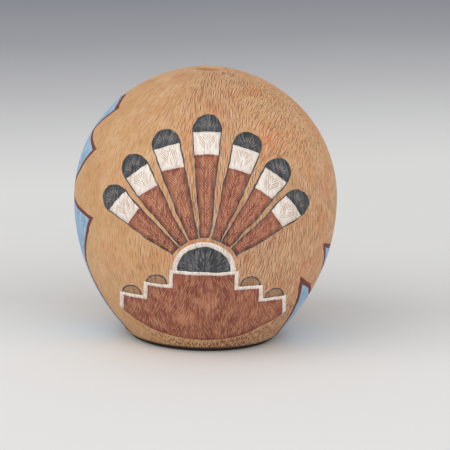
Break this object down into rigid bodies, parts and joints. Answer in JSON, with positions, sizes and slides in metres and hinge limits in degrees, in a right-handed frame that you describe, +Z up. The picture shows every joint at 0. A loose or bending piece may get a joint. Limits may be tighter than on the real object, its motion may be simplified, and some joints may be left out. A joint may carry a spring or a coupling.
{
  "type": "seed pot",
  "caption": "Small round coil-built pueblo seed pot with a tiny hole in its crown, an etched tan surface and painted slip panels, for keeping seeds.",
  "frame": {"origin": "centre of the flat foot, on the ground", "axes": "+Z up along the pot's axis of revolution, painted front towards -Y, +X to the viewer's right"},
  "size_m": [0.0661, 0.0661, 0.0678],
  "materials": {
    "clay": "matte",
    "tan_slip": "matte",
    "blue_slip": "matte",
    "dark_red_slip": "matte",
    "red_brown_slip": "matte",
    "dark_grey_slip": "matte",
    "cream_slip": "matte",
    "ochre_slip": "matte"
  },
  "bodies": {
    "root": {"base_pad": "clay", "coil_1": "clay", "coil_2": "clay", "coil_3": "clay", "coil_4": "clay", "coil_5": "clay", "coil_6": "clay", "coil_7": "clay", "coil_8": "clay", "coil_9": "clay", "mouth_ring": "clay", "slip_coat": "tan_slip", "left_panel": "blue_slip", "left_outline": "dark_red_slip", "right_panel": "blue_slip", "right_outline": "dark_red_slip", "terrace": "red_brown_slip", "terrace_edging": "cream_slip", "step_clouds": "ochre_slip", "fan_hub": "dark_grey_slip", "hub_ring": "cream_slip", "feather_vanes": "red_brown_slip", "feather_bands": "cream_slip", "feather_tips": "dark_grey_slip"}
  },
  "joints": []
}
